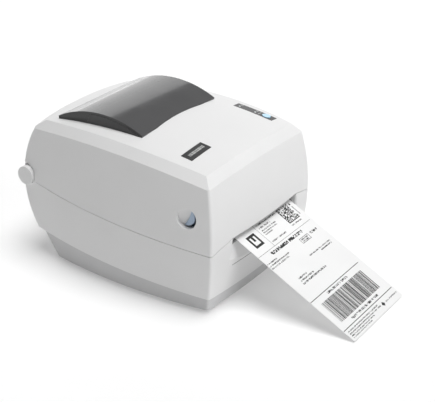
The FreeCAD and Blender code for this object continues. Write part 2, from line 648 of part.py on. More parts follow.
def make_media():
    """The label roll on its core, the web that leads from it, and the label that is out."""
    back, height = "roll_back", "roll_height"
    half = "roll_half_width"
    paper = rod("RollPaper", "roll_radius", "2 * roll_half_width", ("-" + half, back, height), ALONG_X)
    paper_bore = rod("RollPaperBore", "core_radius", "2 * roll_half_width + 2", ("-" + half + " - 1", back, height),
                     ALONG_X)
    keep("label_roll", bored("LabelRoll", paper, [paper_bore]))
    core = rod("CoreTube", "core_radius", "2 * roll_half_width", ("-" + half, back, height), ALONG_X)
    core_bore = rod("CoreBore", "core_bore_radius", "2 * roll_half_width + 2", ("-" + half + " - 1", back, height),
                    ALONG_X)
    keep("roll_core", bored("RollCore", core, [core_bore]))
    guide = Vector(size("web_guide_back"), size("label_underside"), 0)
    roll = Vector(size(back), size(height), 0)
    reach = roll - guide
    clear_radius = size("roll_radius") + 0.8
    angle = math.atan2(reach.y, reach.x) - math.asin(clear_radius / reach.Length)
    run = math.sqrt(reach.Length ** 2 - clear_radius ** 2)
    leave = guide + Vector(math.cos(angle), math.sin(angle), 0) * run
    across = Vector(-math.sin(angle), math.cos(angle), 0) * size("label_thickness")
    half_width = size("label_half_width")
    lip, top = -100, size("label_thickness")
    web = prism_x([(lip, guide.y), (guide.x, guide.y), (leave.x, leave.y), (leave.x + across.x, leave.y + across.y),
                   (guide.x, guide.y + top), (lip, guide.y + top)], -half_width, half_width)
    keep("label_web", shaped("LabelWeb", web))
    droop = math.radians(size("label_droop"))
    bend, out = size("label_bend_back"), size("label_length")
    tip = Vector(bend - out * math.cos(droop), guide.y - out * math.sin(droop), 0)
    lift = Vector(math.sin(droop), math.cos(droop), 0) * top
    label = prism_x([(lip, guide.y), (bend, guide.y), (tip.x, tip.y), (tip.x - lift.x, tip.y + lift.y),
                     (bend, guide.y + top), (lip, guide.y + top)], -half_width, half_width)
    corners = [edge for edge in label.Edges if edge.BoundBox.YMax < tip.x + 1 and edge.BoundBox.XLength < 0.1]
    label = label.makeFillet(2, corners)
    keep("printed_label", shaped("PrintedLabel", label))


def make_roll_holders():
    """Two sliding roll holders whose racks run on one pinion, so that they move together."""
    inside = size("roll_half_width") + size("holder_gap")
    thick, back, height = size("holder_thickness"), size("roll_back"), size("roll_height")
    floor, rise = size("rack_floor"), size("rack_height")
    plate = prism_x([(back - 24, floor), (back + 24, floor), (back + 20, height - 10), (back - 20, height - 10)],
                    -inside - thick, -inside)
    plate = plate.fuse(disc_x(22, -inside - thick, -inside, back, height))
    hub = disc_x(size("hub_radius"), -inside - thick, -inside + size("hub_depth"), back, height)
    holder = plate.fuse(hub)
    pinion_radius = size("rack_module") * size("rack_pinion_teeth") / 2
    pitch = math.pi * size("rack_module")
    module = size("rack_module")
    depth = 5
    bar = slab((-inside - 1, back + pinion_radius + module * 1.3, floor), (14, back + pinion_radius + depth, floor + rise))
    tooth_half = pitch / 4 - 0.06
    slant = math.tan(math.radians(20)) * module
    base_y = back + pinion_radius + module * 1.3
    for number in range(-int(size("rack_teeth_count")), 4):
        x = (number + 0.5) * pitch
        outline = [Vector(x - tooth_half - slant * 1.3, base_y + 0.01, floor),
                   Vector(x + tooth_half + slant * 1.3, base_y + 0.01, floor),
                   Vector(x + tooth_half - slant * 0.95, base_y - module * 2.25, floor),
                   Vector(x - tooth_half + slant * 0.95, base_y - module * 2.25, floor)]
        bar = bar.fuse(face_of(outline).extrude(Vector(0, 0, rise)))
    left = holder.fuse(bar)
    keep("roll_holder_left", shaped("RollHolderLeft", left))
    right = left.copy()
    right.rotate(Vector(0, back, 0), Vector(0, 0, 1), 180)
    keep("roll_holder_right", shaped("RollHolderRight", right))
    pinion = spur_gear(int(size("rack_pinion_teeth")), module, rise, 2.1, 0)
    pinion.rotate(Vector(), Vector(0, 0, 1), 90)
    pinion.translate(Vector(0, back, floor))
    keep("holder_pinion", shaped("HolderPinion", pinion))
    pin = rod("PinionPin", "2", "rack_height + 1.4", ("0", "roll_back", "tray_bottom + tray_thickness"))
    keep("holder_pinion_pin", pin)


def make_media_guides():
    """The two guides that steer the web on the deck, and the gap sensor under it."""
    foot = block("GuideFoot", ("-deck_half_width + 2", "deck_front + 6", "deck_top + 0.2"), ("12.4", "20", "2"))
    fence = block("GuideFence", ("-label_half_width - 3", "deck_front + 6", "deck_top + 0.2"), ("2.6", "20", "6"))
    guide = joined("MediaGuideLeft", [foot, fence])
    keep("media_guide_left", guide)
    keep("media_guide_right", mirrored("MediaGuideRight", guide))
    keep("gap_sensor", block("GapSensor", ("-8", "deck_rear - 14", "deck_top"), ("16", "10", "3")))


# ---- the print head and the frame in the cover ------------------------------------

def make_cover_frame():
    """The folded frame that hangs from the roof: a shelf and two cheeks with pivot holes."""
    half, level, sheet_metal = size("frame_half_width"), size("frame_height"), size("frame_sheet")
    front, rear = size("frame_front"), size("frame_rear")
    shelf = slab((-half, front, level), (half, rear, level + sheet_metal))
    cheek = prism_x([(front, 80), (-56, 80), (-56, 100), (rear, level), (rear, level + sheet_metal), (-66, 138),
                     (-90, 138), (front, level + sheet_metal)], -half, -half + 3)
    frame = shelf.fuse(both_sides(cheek))
    frame = frame.cut(disc_x(size("latch_shaft_radius") + 0.1, -90, 90, size("latch_back"), size("latch_height")))
    frame = frame.cut(disc_x(size("head_pivot_radius"), -90, 90, size("head_pivot_back"),
                             size("head_pivot_height")))
    frame = frame.cut(screw_holes(frame_screw_places(), level - 3, level + 7))
    keep("cover_frame", shaped("CoverFrame", frame))
    bodies = [pan_head_screw(x, y, level, size("frame_screw_length")) for x, y in frame_screw_places()]
    keep("frame_screws", shaped("FrameScrews", Part.makeCompound(bodies)))


def pan_head_screw(x, y, level, length):
    """A screw that points up, its head bearing on a face at this level."""
    radius, head_height = size("screw_radius"), 2.2
    head = Part.makeCylinder(2 * radius, head_height, Vector(x, y, level - head_height))
    shank = Part.makeCylinder(radius, length, Vector(x, y, level))
    slot = Part.makeBox(5, 0.8, 1, Vector(x - 2.5, y - 0.4, level - head_height))
    return head.fuse(shank).cut(slot)


def frame_screw_places():
    """Where the frame is screwed to the posts of the roof."""
    return [(x, y) for x in (-32, 32) for y in (-86, -52)]


def case_screw_places():
    """Where the plinth is screwed to the rim of the case."""
    return [(x, y) for x in (-74, 74) for y in (-60, 60)]


def rim_height(y):
    """The top of the floor rim of the case, at a place along the printer."""
    return size("crease_height") + size("wall") + size("crease_slope") * y


def screw_holes(places, low, high):
    """Holes of the screws' own size, between two levels."""
    holes = [Part.makeCylinder(size("screw_radius"), high - low, Vector(x, y, low)) for x, y in places]
    return holes[0].fuse(holes[1:])


def make_print_head():
    """The print head on its cooling bar, hung on a pivot rod and pressed down by two springs."""
    half, back, height = size("head_half_width"), size("head_pivot_back"), size("head_pivot_height")
    bar = prism_x([(-100, 76), (-84, 76), (-82, 82), (-58, 88), (-58, 96), (-66, 96), (-70, 90), (-100, 86)],
                  -half, half)
    fins = [slab((-half + 4, y, 84), (half - 4, y + 1.5, 90)) for y in (-97, -92, -87, -82)]
    bar = bar.fuse(fins).cut(disc_x(size("head_pivot_radius") + 0.1, -80, 80, back, height))
    keep("head_cooling_bar", shaped("HeadCoolingBar", bar))
    strip = slab((-half + 1, -99, size("head_face") + 0.6), (half - 1, -85, 76))
    glaze = disc_x(1.4, -half + 3, half - 3, size("platen_back"), size("head_face") + 1.4)
    keep("thermal_head", shaped("ThermalHead", strip.fuse(glaze)))
    rod_piece = rod("HeadPivotRod", "head_pivot_radius", "2 * frame_half_width", ("-frame_half_width",
                    "head_pivot_back", "head_pivot_height"), ALONG_X)
    keep("head_pivot_rod", rod_piece)
    for name, x in (("left", -40), ("right", 40)):
        spring = coil(3.2, 0.5, 90.6, size("frame_height") - 0.6, 7)
        spring.translate(Vector(x, -89.6, 0))
        keep("head_spring_" + name, shaped("HeadSpring" + name.title(), spring))


def coil(radius, wire, bottom, top, turns):
    """A coil spring standing between two heights."""
    helix = Part.makeHelix((top - bottom) / turns, top - bottom, radius)
    section = Part.Wire(Part.makeCircle(wire, Vector(radius, 0, 0), Vector(0, 1, 0)))
    spring = Part.Wire(helix).makePipeShell([section], True, True)
    spring.translate(Vector(0, 0, bottom))
    return spring


# ---- the release latch ------------------------------------------------------------

def make_latch():
    """The release latch: two side levers on one shaft, each with a thumb pad and a hook."""
    back, height = size("latch_back"), size("latch_height")
    inner, thick = size("lever_inner"), size("lever_thickness")
    arm = prism_x([(back - 5, height), (back - 4, 78), (back - 3, 70), (back + 8, 70), (back + 8, 74),
                   (back + 4, 78), (back + 5, height)], -inner - thick, -inner)
    arm = arm.fuse(disc_x(6, -inner - thick, -inner, back, height))
    y, z = scoop_frame(size("pad_set"), 0)
    edge_y, edge_z = scoop_frame(size("scoop_edge_set"), 0)
    pad = disc_x(size("pad_radius"), -size("pad_outer"), -inner, y, z)
    pad = pad.cut(disc_x(size("scoop_edge_radius") + 0.5, -110, -inner - thick, edge_y, edge_z))
    lever = arm.fuse(pad)
    lever = lever.cut(disc_x(size("latch_shaft_radius"), -90, -70, back, height))
    keep("latch_lever_left", shaped("LatchLeverLeft", lever))
    keep("latch_lever_right", shaped("LatchLeverRight", lever.mirror(Vector(), Vector(1, 0, 0))))
    shaft = rod("LatchShaft", "latch_shaft_radius", "2 * (lever_inner + lever_thickness)",
                ("-lever_inner - lever_thickness", "latch_back", "latch_height"), ALONG_X)
    keep("latch_shaft", shaft)


# ---- the controls -----------------------------------------------------------------

def make_controls():
    """The panel with its button and lamps, the board under it and the blank name plate."""
    left, width = size("panel_left"), size("panel_width")
    front, length = size("panel_front"), size("panel_length")
    middle, back = left + width / 2, size("button_back")
    lamps = [(middle - 1, back + 13), (middle - 1, back + 32)]
    panel = plate_in_roof(left, width, front, length, 0)
    for x, y, radius in [(middle, back, size("button_radius") + 0.3)] + [(x, y, 1) for x, y in lamps]:
        panel = panel.cut(Part.makeCylinder(radius, 40, Vector(x, y, 130)))
    keep("control_panel", shaped("ControlPanel", panel))
    light = [Part.makeCylinder(1, 40, Vector(x, y, 130)).common(roof_form(0)).cut(roof_form(0.8))
             for x, y in lamps]
    keep("status_lights", shaped("StatusLights", Part.makeCompound(light)))
    badge = plate_in_roof(size("badge_left"), size("badge_width"), size("badge_front"), size("badge_length"), 0.4)
    keep("name_plate", shaped("NamePlate", badge))
    cap = Part.makeCylinder(size("button_radius"), 40, Vector(middle, back, 130))
    cap = cap.common(roof_form(-0.8)).cut(roof_form(size("button_height")))
    lip = Part.makeCylinder(size("button_radius") + 1.5, 40, Vector(middle, back, 130))
    lip = lip.common(roof_form(size("wall") + 0.3)).cut(roof_form(size("button_height")))
    keep("feed_button", shaped("FeedButton", cap.fuse(lip)))
    board = slab((left - 6, front + 3, 100), (left + width + 1, front + length, 175))
    board = board.common(roof_form(6.5)).cut(roof_form(8.1))
    key = Part.makeCylinder(2, 40, Vector(middle, back, 130)).common(roof_form(5.2)).cut(roof_form(6.5))
    keep("button_board", shaped("ButtonBoard", board.fuse(key)))


# ---- electrics --------------------------------------------------------------------

def make_electrics():
    """The main board, what stands on it, and the sockets and switch in the rear panel."""
    level = "plinth_floor + 6"
    board = block("MainBoard", ("-62", "-42", level), ("124", "124", "1.6"))
    keep("main_board", board)
    top = size("plinth_floor") + 7.6
    chips = [slab((x, y, top), (x + w, y + d, top + rise))
             for x, y, w, d, rise in ((-40, -10, 20, 20, 1.6), (-5, 0, 12, 18, 1.4), (20, 10, 10, 8, 1.4),
                                      (-50, 40, 8, 14, 1.4), (34, -30, 16, 6, 6), (-56, -34, 24, 5, 5))]
    cans = [Part.makeCylinder(4, 10, Vector(x, 60, top)) for x in (-30, -18, 30)]
    keep("board_components", shaped("BoardComponents", Part.makeCompound(chips + cans)))
    half, plane, sheet_metal = size("port_half_width"), size("port_plane"), size("port_sheet")
    bottom, ceiling = size("port_bottom"), size("port_top")
    box = slab((-half - 2, plane, bottom - 2), (half + 2, 160, ceiling + 2))
    box = box.cut(slab((-half, plane + sheet_metal, bottom), (half, 170, ceiling)))
    panel = box.common(body_form(size("wall") + 0.1))
    socket_holes = [slab((18, plane - 5, 45), (30, plane + 5, 56)), disc_y(4.2, 0, 50),
                    slab((-36, plane - 5, 43.5), (-22, plane + 5, 57.5))]
    keep("port_panel", shaped("PortPanel", panel.cut(socket_holes[0]).cut(socket_holes[1]).cut(socket_holes[2])))
    usb = slab((18, plane - 14, 45), (30, plane + 1.6, 56)).cut(slab((19, plane - 10, 46), (29, plane + 3, 55)))
    tongue = slab((21, plane - 12, 51.5), (27, plane, 54))
    keep("usb_socket", shaped("UsbSocket", usb.fuse(tongue)))
    inlet = slab((-6.5, plane - 14, 43.5), (6.5, plane, 56.5)).fuse(disc_y(4.2, 0, 50).common(
        slab((-9, plane - 1, 40), (9, plane + 1.6, 60))))
    inlet = inlet.cut(disc_y(3.1, 0, 50).common(slab((-9, plane - 10, 40), (9, plane + 5, 60))))
    pin = disc_y(1, 0, 50).common(slab((-9, plane - 11, 40), (9, plane + 0.6, 60)))
    keep("power_inlet", shaped("PowerInlet", inlet.fuse(pin)))
    housing = slab((-36, plane - 13, 43.5), (-22, plane + 1.6, 57.5))
    housing = housing.cut(slab((-34.6, plane - 9, 44.9), (-23.4, plane + 3, 56.1)))
    housing = housing.fuse(disc_x(1, -35, -34, plane - 2, 50.5)).fuse(disc_x(1, -24, -23, plane - 2, 50.5))
    keep("switch_housing", shaped("SwitchHousing", housing))
    rocker = prism_x([(plane - 4, 46.3), (plane - 4, 54.7), (plane + 3, 54.5), (plane + 1.4, 50.5),
                      (plane + 0.2, 46.3)], -34.2, -23.8)
    rocker = rocker.cut(disc_x(1.1, -36, -33.6, plane - 2, 50.5)).cut(disc_x(1.1, -24.4, -22, plane - 2, 50.5))
    keep("power_rocker", shaped("PowerRocker", rocker))
    io_board = slab((-46, plane - 15.6, 38), (46, plane - 14, 62))
    keep("socket_board", shaped("SocketBoard", io_board))


def disc_y(radius, x, z):
    """A long round solid along Y."""
    return Part.makeCylinder(radius, 300, Vector(x, 0, z), Vector(0, 1, 0))


def make_small_fittings():
    """The tear bar, the feet and the screws from below."""
    teeth = 60
    low, high = 67, 71.2
    pitch = 2 * 56 / teeth
    outline = [(-56, low), (56, low)]
    outline += [(56 - pitch * step / 2, high if step % 2 else high - 1.2) for step in range(2 * teeth + 1)]
    bar = prism_y(outline, -103.4, -102.6)
    foot_bar = slab((-56, -103.4, 62), (56, -102.6, low))
    keep("tear_bar", shaped("TearBar", bar.fuse(foot_bar).removeSplitter()))
    for number, (side, end) in enumerate([(-1, -1), (1, -1), (-1, 1), (1, 1)], start=1):
        keep("rubber_foot_%d" % number, rubber_foot(number, side, end))
    screws = [pan_head_screw(x, y, size("case_screw_seat"), rim_height(y) - size("case_screw_seat"))
              for x, y in case_screw_places()]
    keep("case_screws", shaped("CaseScrews", Part.makeCompound(screws)))


def rubber_foot(number, side, end):
    """One foot: a sketched disc, padded and chamfered."""
    body = doc.addObject("PartDesign::Body", "RubberFoot%d" % number)
    sketch = body.newObject("Sketcher::SketchObject", "FootSketch%d" % number)
    sketch.AttachmentSupport = [(next(f for f in body.Origin.OriginFeatures if f.Role == "XY_Plane"), "")]
    sketch.MapMode = "FlatFace"
    sketch.addGeometry(Part.Circle(Vector(), Vector(0, 0, 1), size("foot_radius")))
    sketch.addConstraint(Sketcher.Constraint("Coincident", 0, 3, -1, 1))
    sketch.addConstraint(Sketcher.Constraint("Radius", 0, size("foot_radius")))
    sketch.renameConstraint(1, "radius")
    bind(sketch, "Constraints.radius", "foot_radius")
    pad = body.newObject("PartDesign::Pad", "FootPad%d" % number)
    pad.Profile = sketch
    bind(pad, "Length", "plinth_bottom")
    doc.recompute()
    chamfer = body.newObject("PartDesign::Chamfer", "FootChamfer%d" % number)
    lowest = ["Edge%d" % (index + 1) for index, edge in enumerate(pad.Shape.Edges)
              if edge.BoundBox.ZMax < 0.01 and edge.BoundBox.XLength > 1]
    chamfer.Base = (pad, lowest)
    chamfer.Size = 0.8
    body.Tip = chamfer
    return put(body, ("%d * foot_x" % side, "%d * foot_y" % end, "0"))


# ---- making and writing -----------------------------------------------------------

def make_everything():
    """Every sub-part, from the shells inwards."""
    outer, inner = body_form(0), body_form(size("wall"))
    make_top_cover(outer, inner)
    make_window()
    make_lower_case(outer, inner)
    make_front_bezel(outer)
    make_base_plate()
    make_hinges()
    make_media_tray()
    make_print_line()
    make_media()
    make_roll_holders()
    make_media_guides()
    make_cover_frame()
    make_print_head()
    make_latch()
    make_controls()
    make_electrics()
    make_small_fittings()


def check_and_write():
    """Stop if anything failed to build, then write one file for each sub-part."""
    doc.recompute()
    for item in doc.Objects:
        if "Invalid" in item.State or "Error" in item.State:
            raise RuntimeError("%s did not build: %s" % (item.Name, item.State))
    for item in sub_parts:
        if item.Shape.isNull() or not item.Shape.isValid():
            raise RuntimeError("%s has no valid shape" % item.Label)
    os.makedirs("parts", exist_ok=True)
    for item in sub_parts:
        item.Shape.exportStep("parts/%s.step" % item.Label)
    print("wrote %d parts" % len(sub_parts))


make_everything()
check_and_write()
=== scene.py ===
"""The look of the label printer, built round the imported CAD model.

Lengths are in metres in the printer's own frame. What is printed on the label, the name
plate and the control panel is laid out in millimetres on that piece.
"""

import math
import random

import bpy
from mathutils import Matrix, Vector
from mathutils.bvhtree import BVHTree


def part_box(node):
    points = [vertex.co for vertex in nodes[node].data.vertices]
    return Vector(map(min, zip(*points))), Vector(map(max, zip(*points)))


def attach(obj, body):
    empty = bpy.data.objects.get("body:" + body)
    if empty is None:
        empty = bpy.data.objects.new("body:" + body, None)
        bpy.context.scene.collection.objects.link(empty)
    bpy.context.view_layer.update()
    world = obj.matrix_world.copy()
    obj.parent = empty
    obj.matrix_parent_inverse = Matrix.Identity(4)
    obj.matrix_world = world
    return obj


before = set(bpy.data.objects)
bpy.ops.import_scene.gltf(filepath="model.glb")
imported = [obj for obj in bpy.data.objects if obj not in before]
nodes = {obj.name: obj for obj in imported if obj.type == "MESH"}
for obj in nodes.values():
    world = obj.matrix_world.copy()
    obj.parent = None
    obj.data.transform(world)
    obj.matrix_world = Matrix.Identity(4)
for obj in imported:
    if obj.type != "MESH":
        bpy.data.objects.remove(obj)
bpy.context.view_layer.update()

MM = 0.001
RING_PITCH = 0.0011
CORE_PITCH = 0.04


# ---- node helpers -----------------------------------------------------------------

class Finish:
    """A material under construction: its tree, its main shader and its object coordinates."""

    def __init__(self, name, **values):
        self.material = bpy.data.materials.new(name)
        self.material.use_nodes = True
        self.tree = self.material.node_tree
        self.shader = self.tree.nodes["Principled BSDF"]
        self.place = self.add("ShaderNodeTexCoord").outputs["Object"]
        for socket, value in values.items():
            self.shader.inputs[socket.replace("_", " ")].default_value = value

    def add(self, kind, inputs=(), **settings):
        """A node with its settings; inputs are numbers, colours or other nodes' outputs."""
        node = self.tree.nodes.new(kind)
        for name, value in settings.items():
            setattr(node, name, value)
        for key, value in dict(inputs).items():
            if isinstance(value, bpy.types.NodeSocket):
                self.tree.links.new(value, node.inputs[key])
            else:
                node.inputs[key].default_value = value
        return node

    def math(self, operation, *values):
        """One arithmetic step."""
        return self.add("ShaderNodeMath", enumerate(values), operation=operation).outputs[0]

    def scaled_place(self, scale):
        """The object coordinates stretched by a factor on each axis."""
        inputs = {"Vector": self.place, "Scale": scale}
        return self.add("ShaderNodeMapping", inputs).outputs["Vector"]

    def noise(self, scale, detail=2.0, place=None):
        """Soft noise with so many features to the metre, from 0 to 1."""
        inputs = {"Vector": place or self.place, "Scale": scale, "Detail": detail}
        return self.add("ShaderNodeTexNoise", inputs).outputs["Fac"]

    def spread(self, value, low, high, start=0.3, end=0.7):
        """A value from start to end moved to the range from low to high."""
        inputs = {"Value": value, "From Min": start, "From Max": end, "To Min": low, "To Max": high}
        return self.add("ShaderNodeMapRange", inputs).outputs["Result"]

    def mix(self, factor, first, second):
        """Two colours mixed."""
        node = self.add("ShaderNodeMix", data_type="RGBA")
        for key, value in ((0, factor), (6, first), (7, second)):
            if isinstance(value, bpy.types.NodeSocket):
                self.tree.links.new(value, node.inputs[key])
            else:
                node.inputs[key].default_value = value if key == 0 else (*value, 1.0)
        return node.outputs[2]

    def colour(self, value):
        """Drive the base colour."""
        self.tree.links.new(value, self.shader.inputs["Base Color"])

    def roughness(self, value):
        """Drive the roughness."""
        self.tree.links.new(value, self.shader.inputs["Roughness"])

    def relief(self, height, depth, strength=1.0):
        """Raise the surface by a height pattern, so many metres deep."""
        inputs = {"Height": height, "Distance": depth, "Strength": strength}
        bump = self.add("ShaderNodeBump", inputs).outputs["Normal"]
        self.tree.links.new(bump, self.shader.inputs["Normal"])
        return bump

    def edges(self, radius):
        """1 near sharp edges and 0 on flat faces."""
        soft = self.add("ShaderNodeBevel", {"Radius": radius}, samples=6).outputs["Normal"]
        flat = self.add("ShaderNodeNewGeometry").outputs["Normal"]
        dot = self.add("ShaderNodeVectorMath", {0: soft, 1: flat}, operation="DOT_PRODUCT")
        return self.spread(dot.outputs["Value"], 1.0, 0.0, 0.75, 0.99)


def shade(colour, factor):
    """A colour made darker or lighter."""
    return tuple(min(1.0, part * factor) for part in colour)


def moulded(name, colour, rough=0.5, vary=0.03, grain=1500, depth=0.00004, edge_highlight_and_wear=1.06, **values):
    """Moulded plastic: faint cloudy colour, a fine spark-eroded grain and paler edges, a painted
    highlight in patches like rubbed wear.
    """
    finish = Finish(name, **values)
    cloud = finish.spread(finish.noise(14, 3), 0, 1)
    base = finish.mix(cloud, shade(colour, 1 - vary), shade(colour, 1 + vary))
    rubbed = finish.spread(finish.noise(160, 4), 0.1, 0.9)
    # paler edges: a painted highlight, in patches like rubbed wear
    edge = finish.math("MULTIPLY", finish.edges(0.0006), rubbed)
    finish.colour(finish.mix(edge, base, shade(colour, edge_highlight_and_wear)))
    finish.roughness(finish.spread(finish.noise(45, 4), rough - 0.05, rough + 0.06))
    finish.relief(finish.noise(grain, 2), depth)
    return finish.material


def polished(name, colour, rough=0.15, vary=0.03, edge_highlight_and_wear=1.1, **values):
    """Smooth plastic: faint flow marks, finger haze in the roughness, no grain to speak of."""
    finish = Finish(name, **values)
    flow = finish.spread(finish.noise(30, 2, finish.scaled_place((1, 0.35, 1))), 0, 1)
    base = finish.mix(flow, shade(colour, 1 - vary), shade(colour, 1 + vary))
    # paler edges: a painted highlight and wear
    finish.colour(finish.mix(finish.edges(0.0004), base, shade(colour, edge_highlight_and_wear)))
    haze = finish.noise(38, 5)
    finish.roughness(finish.spread(haze, rough, rough + 0.12, 0.35, 0.75))
    finish.relief(finish.noise(420, 2), 0.000006)
    return finish.material


def metal(name, colour, rough, along, vary=0.08, **values):
    """Bare metal with fine lines that run along one axis and brighter edges, a painted highlight
    that also stands for rubbed wear.
    """
    finish = Finish(name, Metallic=1.0, **values)
    stretch = [900.0, 900.0, 900.0]
    stretch[along] = 22.0
    lines = finish.noise(1.0, 4, finish.scaled_place(tuple(stretch)))
    base = finish.mix(finish.spread(lines, 0, 1), shade(colour, 1 - vary), shade(colour, 1 + vary))
    stain = finish.spread(finish.noise(70, 5), 0, 0.35, 0.5, 0.8)
    base = finish.mix(stain, base, shade(colour, 0.7))
    # brighter edges: a painted highlight, also standing for rubbed wear
    finish.colour(finish.mix(finish.edges(0.0003), base, shade(colour, 1.3)))
    finish.roughness(finish.spread(lines, rough - 0.06, rough + 0.1))
    finish.relief(lines, 0.00001)
    return finish.material


def paper(name, colour):
    """Coated thermal paper: a faint fibre pattern under a smooth top coat."""
    finish = Finish(name)
    fibre = finish.noise(2600, 3)
    cloud = finish.noise(25, 4)
    base = finish.mix(finish.spread(cloud, 0, 1), shade(colour, 0.985), shade(colour, 1.015))
    finish.colour(finish.mix(finish.spread(fibre, 0, 0.35), base, shade(colour, 0.96)))
    finish.roughness(finish.spread(cloud, 0.42, 0.55))
    finish.relief(fibre, 0.000012)
    return finish.material


def round_axis(finish, axis):
    """How far back and up from a crosswise axis each place is, and how far along it."""
    parts = finish.add("ShaderNodeSeparateXYZ", {"Vector": finish.place})
    back = finish.math("SUBTRACT", parts.outputs["Y"], axis[1])
    up = finish.math("SUBTRACT", parts.outputs["Z"], axis[2])
    return back, up, parts.outputs["X"]


def wound_paper(name, colour, axis):
    """The label roll: fine rings on its ends, in lighter and darker bands."""
    finish = Finish(name)
    back, up, _ = round_axis(finish, axis)
    radius = finish.math("SQRT", finish.math("ADD", finish.math("POWER", back, 2.0),
                                             finish.math("POWER", up, 2.0)))
    ring = finish.math("SINE", finish.math("MULTIPLY", radius, 2 * math.pi / RING_PITCH))
    band = finish.noise(1.0, 3, finish.add("ShaderNodeCombineXYZ", {
        "X": finish.math("MULTIPLY", radius, 900.0)}).outputs["Vector"])
    tone = finish.math("ADD", finish.spread(ring, 0, 0.3, -1, 1), finish.spread(band, 0, 0.7))
    finish.colour(finish.mix(tone, shade(colour, 0.8), colour))
    finish.roughness(finish.spread(finish.noise(90, 3), 0.5, 0.65))
    finish.relief(ring, 0.00003)
    return finish.material


def cardboard(name, colour, axis):
    """The roll's core: grey-brown board with the lines of its spiral winding."""
    finish = Finish(name)
    back, up, across = round_axis(finish, axis)
    turn = finish.math("ARCTAN2", back, up)
    along = finish.math("MULTIPLY", across, 2 * math.pi / CORE_PITCH)
    seam = finish.math("SINE", finish.math("ADD", turn, along))
    fibre = finish.noise(700, 4)
    base = finish.mix(finish.spread(fibre, 0, 1), shade(colour, 0.82), shade(colour, 1.15))
    finish.colour(finish.mix(finish.spread(seam, 0, 0.5, 0.93, 1.0), base, shade(colour, 0.5)))
    finish.roughness(finish.spread(fibre, 0.8, 0.95))
    finish.relief(fibre, 0.00006)
    return finish.material


def circuit(name, colour, pad):
    """A circuit board: solder mask over copper tracks, with bare pads."""
    finish = Finish(name, Coat_Weight=0.3, Coat_Roughness=0.2)
    tracks = finish.add("ShaderNodeTexVoronoi", {"Vector": finish.place, "Scale": 260.0},
                        distance="MANHATTAN", feature="F2").outputs["Distance"]
    line = finish.spread(finish.math("PINGPONG", tracks, 0.16), 0, 1, 0.05, 0.07)
    base = finish.mix(line, shade(colour, 0.75), shade(colour, 1.35))
    dots = finish.add("ShaderNodeTexVoronoi", {"Vector": finish.place, "Scale": 210.0,
                                               "Randomness": 0.65}).outputs["Distance"]
    bare = finish.spread(dots, 1, 0, 0.14, 0.17)
    finish.colour(finish.mix(bare, base, pad))
    finish.tree.links.new(bare, finish.shader.inputs["Metallic"])
    finish.roughness(finish.spread(finish.noise(60, 3), 0.28, 0.42))
    finish.relief(line, 0.00003)
    return finish.material


def smoked(name, colour, end, half_width):
    """The window: polished smoked plastic, its end walls painted near black as painted shade for
    the dark inside seen through them.
    """
    finish = Finish(name, Specular_IOR_Level=0.5, IOR=1.5, Coat_Weight=0.25, Coat_Roughness=0.08)
    parts = finish.add("ShaderNodeSeparateXYZ", {"Vector": finish.place})
    aside = finish.math("ABSOLUTE", parts.outputs["X"])
    # the end walls get the near-black colour: painted shade for the dark inside seen through them
    painted_shade_walls = finish.math("GREATER_THAN", aside, half_width - 0.0002)
    flow = finish.spread(finish.noise(16, 2), 0, 1)
    base = finish.mix(flow, shade(colour, 0.97), shade(colour, 1.03))
    base = finish.mix(finish.edges(0.0004), base, shade(colour, 0.45))
    finish.colour(finish.mix(painted_shade_walls, base, end))
    finish.roughness(finish.spread(finish.noise(55, 5), 0.1, 0.2))
    finish.relief(finish.noise(30, 1), 0.00002)
    return finish.material


# ---- surfaces ---------------------------------------------------------------------

ABOVE_ALL = 0.5
AHEAD_OF_ALL = -0.2


class Surface:
    """The upper side of a CAD node, for things that lie on it."""

    def __init__(self, node):
        mesh = nodes[node].data
        corners = [vertex.co for vertex in mesh.vertices]
        self.tree = BVHTree.FromPolygons(corners, [tuple(face.vertices) for face in mesh.polygons])

    def cast(self, x, y):
        """What a ray straight down meets first."""
        return self.tree.ray_cast(Vector((x, y, ABOVE_ALL)), Vector((0, 0, -1)))

    def point(self, x, y, lift=0.0):
        """The point of the surface straight below, raised by a small lift."""
        return self.cast(x, y)[0] + Vector((0, 0, lift))

    def normal(self, x, y):
        """The direction the surface faces there."""
        return self.cast(x, y)[1]


class Solids:
    """Closed prisms gathered into one mesh."""

    def __init__(self):
        self.points = []
        self.faces = []

    def prism(self, low, high):
        """A prism between two rings of points, given in the same turning sense."""
        start, count = len(self.points), len(low)
        self.points += [tuple(point) for point in low] + [tuple(point) for point in high]
        self.faces.append([start + index for index in reversed(range(count))])
        self.faces.append([start + count + index for index in range(count)])
        for index in range(count):
            after = (index + 1) % count
            self.faces.append([start + index, start + after, start + count + after,
                               start + count + index])

    def piece(self, name, material, body):
        """The mesh as an object that rides on a CAD body."""
        mesh = bpy.data.meshes.new(name)
        mesh.from_pydata(self.points, [], self.faces)
        mesh.materials.append(material)
        item = bpy.data.objects.new(name, mesh)
        bpy.context.scene.collection.objects.link(item)
        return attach(item, body)


